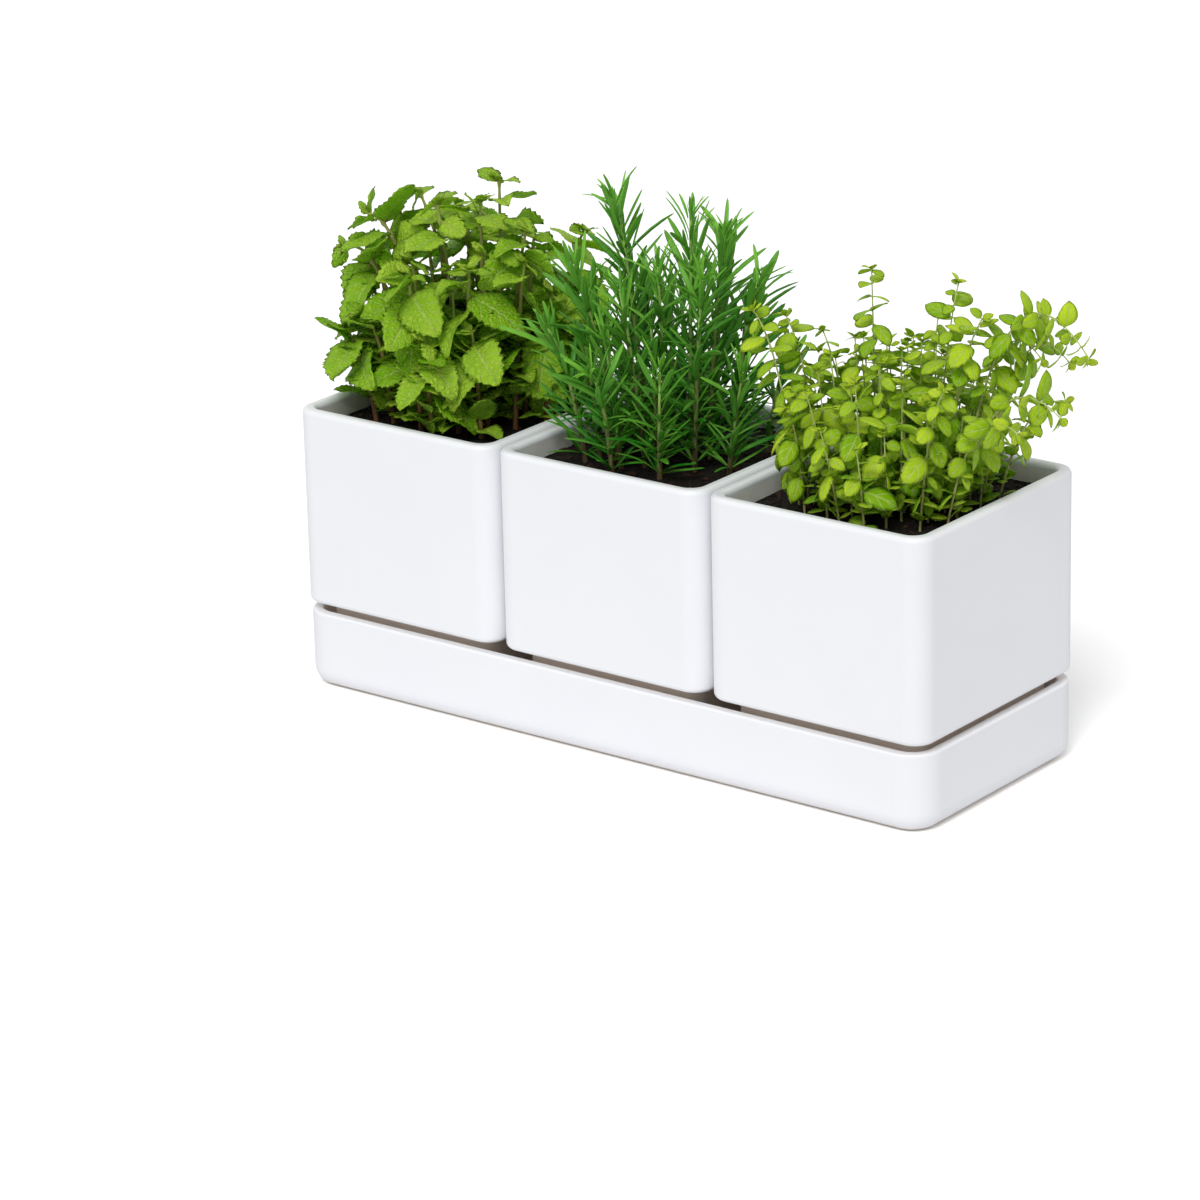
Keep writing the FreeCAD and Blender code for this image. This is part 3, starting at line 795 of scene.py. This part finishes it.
def low_leaves(lines, rng, node, count, spacing, until, length, lift):
    """Small leaves on the bare lower parts of the stems, where they clear the pot's walls and rim."""
    low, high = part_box(node)
    places = []
    for line in lines:
        run = stem_length(line)
        share = rng.uniform(1.5, 3) * MM / run
        while share * run < until:
            centre = on_parabola(line, share)
            start = rng.uniform(0, 2 * math.pi)
            for k in range(count):
                angle = start + 2 * math.pi * k / count
                outward = np.array([math.cos(angle), math.sin(angle), 0.0])
                raised = math.radians(rng.uniform(*lift))
                along = outward * math.cos(raised) + np.array([0, 0, math.sin(raised)])
                upper = np.array([0, 0, math.cos(raised)]) - outward * math.sin(raised)
                size = length * rng.uniform(0.65, 1.15)
                reach = centre + along * size
                clear = all(low[n] + leaf_clear < reach[n] < high[n] - leaf_clear for n in (0, 1))
                if (clear or reach[2] > rim_height + rim_clear) and reach[2] > high.z + leaf_clear:
                    foot = centre + outward * line[3] * 0.8
                    places.append((foot, along, upper, size, rng.uniform(0.0, 0.7)))
            share += spacing * rng.uniform(0.8, 1.2) / run
    return places


# %% [markdown]
# ## Dressing a plant
#
# The three herbs go the same way. Their leaves are varied a little, get a youth that grows towards the
# tips, and are joined by new leaves. Their stems may get knots and stalks. What differs is given by name.

# %% The leaves and the stems of one herb


def foliage(herb, node, seed, vary, youth, tips, low, between=None):
    """A herb's stems, the stem of each leaf, the leaves' places, and all places with new leaves and youth.

    vary, tips and low hold what varied, tip_leaves and low_leaves take. youth holds the least youth, what it
    gains up the stem, the power that delays the gain, and how far chance takes it down and up.
    """
    rng = random.Random(seed)
    lines = stems[herb + "_stems"]
    matches = matched(lines, leaves[node])
    places = [varied(place, rng, **vary) for place in leaves[node]]
    if between:
        places = [shortened(place, *between) for place in places]
    least, gain, power, down, up = youth
    aged = [place + (min(1.0, max(0.0, least + gain * share ** power + rng.uniform(-down, up))),)
            for place, (_, share) in zip(places, matches)]
    aged += tip_leaves(lines, rng, **tips)
    aged += low_leaves(lines, rng, herb + "_root_ball", **low)
    return lines, matches, places, aged


def dress_stems(herb, lines, matches, places, skin, steps, sides, swell=0.0, spread=1 * MM, stalks=None):
    """A herb's stems as one piece. They may swell where leaves leave them and have stalks to the blades."""
    chains = []
    for n, line in enumerate(lines):
        knots = [share for stem, share in matches if stem == n] if swell else []
        chains.append(stem_chain(line, steps, knots, swell, spread))
    if stalks:
        chains += [stalk(lines[stem], share, place, **stalks)
                   for (stem, share), place in zip(matches, places)]
    piece = line_piece(herb + "_stems_fine", chains, sides, skin)
    finish_piece(piece, herb, herb + "_stem", herb + "_stems")


# %% [markdown]
# ## Mint
#
# Mint has broad egg-shaped leaves in pairs on reddish stems. The leaves are toothed and crinkled: the
# fields between the veins swell up like a quilt. Six blades that differ in fold, curl and waviness are
# enough for the eye not to find a repeat among almost two hundred leaves, and small leaves are made from
# four blades with fewer faces.

# %% Mint
mint_veins = 6
mint_droop = 0.22


def mint_blade(name, n, rows, columns):
    """A toothed and quilted blade, one of many, with as many rows and columns of faces as told."""
    rng = random.Random(100 + n)
    fold, curl = rng.uniform(0.0, 0.3), rng.uniform(-0.1, 0.14)
    wave, phase = rng.uniform(0.025, 0.05), rng.uniform(0, 6)
    wide = rng.uniform(0.38, 0.43)

    def half_width(v):
        return wide * math.sin(math.pi * v ** 0.66) ** 0.7 if 0 < v < 1 else 0.0

    def height(x, v, u):
        quilt = 0.03 * math.sin(math.pi * (v * mint_veins - abs(u) * 1.6)) ** 2 * (1 - u * u)
        margin = wave * abs(u) ** 2 * math.sin(phase + 9 * v + (2 if u > 0 else 0))
        groove = -0.02 * math.exp(-(u / 0.2) ** 2) * (1 - v)
        return -mint_droop * v * v - curl * v ** 4 + fold * abs(x) + quilt + margin + groove

    return blade(f"{name} {n}", rows, columns, half_width, height, 0.014, tooth=0.13)


mint_leaf = leaf_material("mint leaf", old="#8ECC0C", young="#D4F050", vein="#DAF084", under="#B0DC50",
                          veins=mint_veins, slant=1.6, net=2.3 * MM, swell=0.9, margin=0.0,
                          crinkle=0.75 * MM, gloss=0.42, shine=0.3, through=0.42)
mint_stem = stem_material("mint stem", old="#84563A", young="#9AA850", gloss=0.5)

lines, matches, places, aged = foliage(
    "mint", "mint_leaves", seed=5, youth=(0.0, 0.45, 1, 0.2, 0.3),
    vary=dict(shortest=0.85, tilt=9, roll=14, above=rim_height + 22 * MM),
    tips=dict(count=4, longest=7.5 * MM, steep=48),
    low=dict(count=2, spacing=4.5 * MM, until=42 * MM, length=16 * MM, lift=(5, 60)))
piece = leafy_piece("mint_leaves_fine", aged, [mint_blade("mint blade", n, 18, 8) for n in range(6)],
                    mint_leaf, seed=8, small_below=15 * MM,
                    small_blades=[mint_blade("mint blade small", n, 8, 4) for n in range(4)])
finish_piece(piece, "mint", "mint_leaf", "mint_leaves")
dress_stems("mint", lines, matches, places, mint_stem, steps=30, sides=7, swell=0.5 * MM, spread=1.2 * MM,
            stalks=dict(thick=0.62 * MM, thin=0.42 * MM, droop=mint_droop))

# %% [markdown]
# ## Rosemary
#
# A rosemary needle is a narrow leaf whose edges roll under, so it looks like a thick needle with a groove
# along the top and a pale furrow below. It is drawn as a tube of eight corners with that section. The
# needles sit in whorls and point up along the stem, and the woody stems are brown at the foot.

# %% Rosemary
needle_girths = [                # share of the length, share of the greatest width
    (0.0, 0.4), (0.12, 0.6), (0.34, 0.92), (0.58, 1.0), (0.8, 0.85), (0.94, 0.5), (1.0, 0.0)]
needle_sway = 0.16               # how far a tip lies aside, as a share of the length
needle_root = 0.07               # and how far the foot reaches back
wall_clear = 1.6 * MM
needle_section = [(1.0, 0.0), (0.55, 0.36), (0.0, 0.24), (-0.55, 0.36),
                  (-1.0, 0.0), (-0.5, -0.24), (0.0, -0.04), (0.5, -0.24)]


def needle(n):
    """A closed needle of length 1 along +Y. Its foot reaches back into the stem."""
    rng = random.Random(200 + n)
    sway, arch = rng.uniform(-needle_sway, needle_sway), rng.uniform(-0.06, 0.42)
    wide = rng.uniform(0.056, 0.07)
    shape = bmesh.new()
    uv = shape.loops.layers.uv.new("UVMap")
    rings = []
    for v, share in needle_girths:
        y = -needle_root + (1 + needle_root) * v
        girth = wide * share
        rings.append([shape.verts.new((x * girth + sway * v * v, y, z * girth - arch * v * v))
                      for x, z in needle_section])
    sides = len(needle_section)
    for i in range(len(rings) - 1):
        for k in range(sides):
            corners = [(i, k), (i + 1, k), (i + 1, (k + 1) % sides), (i, (k + 1) % sides)]
            face = shape.faces.new([rings[a][b] for a, b in corners])
            lower = k >= sides / 2
            for loop, (a, b) in zip(face.loops, corners):
                loop[uv].uv = (0.5 + 0.5 * needle_section[b][0] + (1 if lower else 0), needle_girths[a][0])
    shape.faces.new(rings[0])
    bmesh.ops.remove_doubles(shape, verts=shape.verts, dist=1e-5)
    bmesh.ops.recalc_face_normals(shape, faces=shape.faces)
    return as_object(f"needle {n}", shape)


needle_skin = leaf_material("rosemary needle", old="#167806", young="#8CD446", vein="#A2D278",
                            under="#66B040", veins=0, slant=0.0, net=1.2 * MM, swell=0.1, margin=0.0,
                            crinkle=0.2 * MM, gloss=0.36, shine=0.3, through=0.14)
rosemary_stem = stem_material("rosemary stem", old="#5E4A30", young="#A4D066", gloss=0.7)

# A needle that crossed the plane of a neighbour's wall would be in its way when that pot is lifted
between = (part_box("left_pot")[1].x + wall_clear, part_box("right_pot")[0].x - wall_clear, needle_sway)
lines, matches, places, aged = foliage(
    "rosemary", "rosemary_needles", seed=6, youth=(0.0, 0.85, 2.2, 0.1, 0.3), between=between,
    vary=dict(shortest=0.62, tilt=14, roll=50, above=rim_height + 15 * MM),
    tips=dict(count=6, longest=13 * MM, steep=62),
    low=dict(count=3, spacing=5.5 * MM, until=26 * MM, length=18 * MM, lift=(10, 65)))
piece = leafy_piece("rosemary_needles_fine", aged, [needle(n) for n in range(8)], needle_skin, seed=9)
finish_piece(piece, "rosemary", "rosemary_needle", "rosemary_needles")
dress_stems("rosemary", lines, matches, places, rosemary_stem, steps=24, sides=7)

# %% [markdown]
# ## Oregano
#
# Oregano has small rounded leaves in pairs on thin wiry stems that arch over the rim. The blade is smooth
# edged and slightly cupped, with few faces, because it is repeated seven hundred times.

# %% Oregano
oregano_droop = 0.16


def oregano_blade(n):
    """A smooth cupped blade, one of many."""
    rng = random.Random(300 + n)
    fold, curl = rng.uniform(0.0, 0.35), rng.uniform(-0.15, 0.15)
    wide = rng.uniform(0.34, 0.41)

    def half_width(v):
        return wide * math.sin(math.pi * v ** 0.88) ** 0.58 if 0 < v < 1 else 0.0

    def height(x, v, u):
        return -oregano_droop * v * v - curl * v ** 3 + fold * abs(x) - 0.05 * abs(u) ** 3

    return blade(f"oregano blade {n}", 8, 4, half_width, height, 0.03)


oregano_leaf = leaf_material("oregano leaf", old="#84C000", young="#DEF432", vein="#E8F4A0", under="#B8DC3C",
                             veins=3, slant=1.4, net=1.8 * MM, swell=0.3, margin=0.6, crinkle=0.35 * MM,
                             gloss=0.48, shine=0.28, through=0.4)
oregano_stem = stem_material("oregano stem", old="#A8A468", young="#BCD072", gloss=0.5)

lines, matches, places, aged = foliage(
    "oregano", "oregano_leaves", seed=7, youth=(0.1, 0.5, 1, 0.25, 0.4),
    vary=dict(shortest=0.52, tilt=16, roll=20, above=rim_height + 14 * MM),
    tips=dict(count=4, longest=5 * MM, steep=45),
    low=dict(count=2, spacing=4.6 * MM, until=24 * MM, length=8.5 * MM, lift=(-5, 60)))
piece = leafy_piece("oregano_leaves_fine", aged, [oregano_blade(n) for n in range(5)], oregano_leaf, seed=10)
finish_piece(piece, "oregano", "oregano_leaf", "oregano_leaves")
dress_stems("oregano", lines, matches, places, oregano_stem, steps=24, sides=6, swell=0.2 * MM,
            spread=0.7 * MM, stalks=dict(thick=0.3 * MM, thin=0.22 * MM, droop=oregano_droop))

# %% [markdown]
# ## Soil and roots
#
# Potting soil is dark peat with crumbs, chips of bark and a few white grains. The block of soil in the
# frame is rebuilt on an even grid of voxels, and noise pushes its points in. Crumbs and chips are scattered
# over the top by Geometry Nodes. A few dozen points at the block's step still lie up to 0.4 mm inside the
# pot, and a few chips at its top reach up to 2 mm into the wall, where they can't be seen. Where a root
# ball is lifted out of its pot, pale roots show on its sides, as on every plant that has been in its pot
# for a while.

# %% Soil body
voxel = 1.7 * MM
lump_size, crumb_size = 9 * MM, 2.6 * MM


def soil_mesh(node):
    """The root ball's plain solid with a crumbly skin."""
    shape = welded(node)
    plain = bpy.data.meshes.new(node + " plain")
    shape.to_mesh(plain)
    shape.free()
    carrier = placed(node + " voxels", plain)
    remesh = carrier.modifiers.new("even grid", "REMESH")
    remesh.mode = "VOXEL"
    remesh.voxel_size = voxel
    bpy.context.view_layer.update()
    graph = bpy.context.evaluated_depsgraph_get()
    mesh = bpy.data.meshes.new_from_object(carrier.evaluated_get(graph), depsgraph=graph)
    bpy.data.objects.remove(carrier)
    places = [vertex.co.copy() for vertex in mesh.vertices]
    normals = [vertex.normal.copy() for vertex in mesh.vertices]
    pushed = []
    for place, normal in zip(places, normals):
        lumps = noise.noise(place / lump_size) * 0.5 + 0.5
        crumbs = noise.noise(place / crumb_size + Vector((7, 3, 1))) * 0.5 + 0.5
        depth = (1.6 * lumps + 1.3 * crumbs if normal.z > 0.6 else 0.5 * lumps + 0.6 * crumbs) * MM
        pushed.append(place - normal * depth)
    mesh.vertices.foreach_set("co", np.array(pushed).ravel())
    mesh.name = node + " soil"
    return mesh


def soil_material(name, dark, light, size):
    """Moist peat or bark: matt, nearly black, with lighter fibres."""
    material, tree = new_material(name)
    place = add(tree, "TexCoord").outputs["Object"]
    fibres = add(tree, "TexNoise", {"Vector": place, "Scale": 1 / size, "Detail": 8.0, "Roughness": 0.7})
    spread = add(tree, "MapRange", {"Value": fibres, "From Min": 0.42, "From Max": 0.72})
    tone = add(tree, "Mix", {"Factor": spread, "A": linear(dark), "B": linear(light)}, data_type="RGBA")
    bump = add(tree, "Bump", {"Height": fibres, "Distance": 0.8 * MM, "Strength": 1.0})
    surface = add(tree, "BsdfPrincipled", {"Base Color": tone, "Roughness": 0.92, "IOR": 1.35,
                                           "Normal": bump})
    add(tree, "OutputMaterial", {"Surface": surface})
    return material


def chunk(name, seed, stretch):
    """A small broken lump of size 1: an icosphere pushed about by noise."""
    shape = bmesh.new()
    bmesh.ops.create_icosphere(shape, subdivisions=1, radius=0.5)
    for vertex in shape.verts:
        push = noise.noise(vertex.co * 2.3 + Vector((seed * 5.1, seed, 0)))
        vertex.co *= 1 + 0.7 * push
        vertex.co.x *= stretch[0]
        vertex.co.y *= stretch[1]
        vertex.co.z *= stretch[2]
    return as_object(name, shape)


# %% [markdown]
# The scatter tree keeps the soil as it is and adds three kinds of bits on its level top: crumbs, bark and
# grains. Each kind has its own density and size. Distribute Points on Faces gives the places, and only
# faces that look up and lie near the top are chosen.

# %% The tree that scatters bits on soil
top_depth = 4 * MM               # what lies this near to the soil's top may carry bits
bit_kinds = ("Crumb", "Bark", "Grain")
sockets = {"Top": "Float"}
for kind in bit_kinds:
    sockets.update({kind + " Shapes": "Collection", kind + " Density": "Float", kind + " Size": "Float",
                    kind + " Material": "Material"})
scatter_tree, start = new_tree("bits on soil", **sockets)
normal = add(scatter_tree, "SeparateXYZ", {"Vector": add(scatter_tree, "GeometryNodeInputNormal")})
position = add(scatter_tree, "SeparateXYZ", {"Vector": add(scatter_tree, "GeometryNodeInputPosition")})
looks_up = add(scatter_tree, "Math GREATER_THAN", {0: normal.outputs["Z"], 1: 0.5})
lies_high = add(scatter_tree, "Math GREATER_THAN", {0: position.outputs["Z"], 1: start.outputs["Top"]})
chosen = add(scatter_tree, "Math MULTIPLY", {0: looks_up, 1: lies_high})
join = add(scatter_tree, "GeometryNodeJoinGeometry")
scatter_tree.links.new(start.outputs["Geometry"], join.inputs[0])
for n, kind in enumerate(bit_kinds):
    density = add(scatter_tree, "Math MULTIPLY", {0: chosen, 1: start.outputs[kind + " Density"]})
    points = add(scatter_tree, "GeometryNodeDistributePointsOnFaces",
                 {"Mesh": start.outputs["Geometry"], "Density": density, "Seed": 40 + n})
    shapes = add(scatter_tree, "GeometryNodeCollectionInfo",
                 {"Collection": start.outputs[kind + " Shapes"], "Separate Children": True,
                  "Reset Children": True})
    turn = add(scatter_tree, "FunctionNodeRandomValue",
               {"Min": (-0.5, -0.5, -3.1), "Max": (0.5, 0.5, 3.1), "Seed": 50 + n}, data_type="FLOAT_VECTOR")
    spread = add(scatter_tree, "FunctionNodeRandomValue",
                 {"Min": 0.45, "Max": 1.25, "Seed": 60 + n}, data_type="FLOAT")
    size = add(scatter_tree, "Math MULTIPLY", {0: spread, 1: start.outputs[kind + " Size"]})
    copies = add(scatter_tree, "GeometryNodeInstanceOnPoints",
                 {"Points": points, "Instance": shapes, "Pick Instance": True, "Rotation": turn,
                  "Scale": size})
    bits = add(scatter_tree, "GeometryNodeRealizeInstances", {"Geometry": copies})
    dressed = add(scatter_tree, "GeometryNodeSetMaterial",
                  {"Geometry": bits, "Material": start.outputs[kind + " Material"]})
    scatter_tree.links.new(dressed.outputs[0], join.inputs[0])
add(scatter_tree, "NodeGroupOutput", {"Geometry": join})


# %% Soil in the three pots
peat = soil_material("moist peat", "#0D0A08", "#2A211A", 2.2 * MM)
crumb_peat = soil_material("peat crumbs", "#100C0A", "#33281F", 1.4 * MM)
bark = soil_material("bark chips", "#2A1A14", "#5E3A2C", 2.0 * MM)
grains = soil_material("white grains", "#B8B2A6", "#E8E4DA", 1.5 * MM)

# Each kind of bits: its stretch, how many lie on a square metre, its size and its material
bit_looks = {"Crumb": ((1.0, 0.9, 0.7), 52000.0, 2.6 * MM, crumb_peat),
             "Bark": ((1.5, 0.7, 0.35), 9000.0, 4.4 * MM, bark),
             "Grain": ((1.0, 0.9, 0.85), 500.0, 1.9 * MM, grains)}

root_step = 2.4 * MM
root_inset = 0.55 * MM           # roots lie half in the skin of the soil
foot_inset = 8.7 * MM            # how far the root ball's foot steps in


def root_lines(node, rng, count=110):
    """Thin roots that wander down the sides of a root ball, on its wide upper part and on its foot."""
    low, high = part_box(node)
    middle = (low + high) / 2
    step_height = shoulder_height + 5 * MM
    lines = []
    for n in range(count):
        wide = n % 3 != 0
        if wide:
            top, bottom = high.z - 6 * MM, step_height + 6 * MM
        else:
            top, bottom = step_height - 4 * MM, low.z + 6 * MM
        inset = root_inset + (0 if wide else foot_inset)
        half = [(high.x - low.x) / 2 - inset, (high.y - low.y) / 2 - inset]
        wall = rng.randrange(4)
        run = half[1 - wall % 2] - 7 * MM
        s, z = rng.uniform(-run, run), rng.uniform(bottom + (top - bottom) * 0.3, top)
        heading = rng.uniform(-1.2, 1.2)
        line, radius = [], rng.uniform(0.12, 0.36) * MM
        for step in range(rng.randrange(12, 34)):
            out = half[wall % 2] * (1 if wall < 2 else -1)
            point = (out, s) if wall % 2 == 0 else (s, out)
            line.append((np.array([middle.x + point[0], point[1], z]), radius * (1 - step / 60), 0.5))
            heading = max(-1.9, min(1.9, heading + rng.uniform(-0.5, 0.5)))
            s += math.sin(heading) * root_step
            z -= math.cos(heading) * root_step
            if abs(s) > run or z < bottom or z > top:
                break
        if len(line) > 4:
            lines.append(line)
    return lines


root_skin = stem_material("pale roots", old="#8E7854", young="#C2AE86", gloss=0.8)
for herb, seed in (("mint", 1), ("rosemary", 2), ("oregano", 3)):
    node = herb + "_root_ball"
    inputs = {"Top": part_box(node)[1].z - top_depth}
    for kind, (stretch, density, size, skin) in bit_looks.items():
        shapes = [chunk(f"{kind} {n}", n + 1, stretch) for n in range(4)]
        inputs.update({kind + " Shapes": new_shelf(kind + " shapes", shapes), kind + " Density": density,
                       kind + " Size": size, kind + " Material": skin})
    mesh = soil_mesh(node)
    mesh.materials.clear()
    mesh.materials.append(peat)
    piece = grown(herb + "_soil", mesh, scatter_tree, **inputs)
    finish_piece(piece, herb, "potting_soil", node)
    for kind in bit_looks:
        clear_shelf(inputs[kind + " Shapes"])
    piece = line_piece(herb + "_roots", root_lines(node, random.Random(70 + seed)), 5, root_skin)
    finish_piece(piece, herb, "potting_soil")
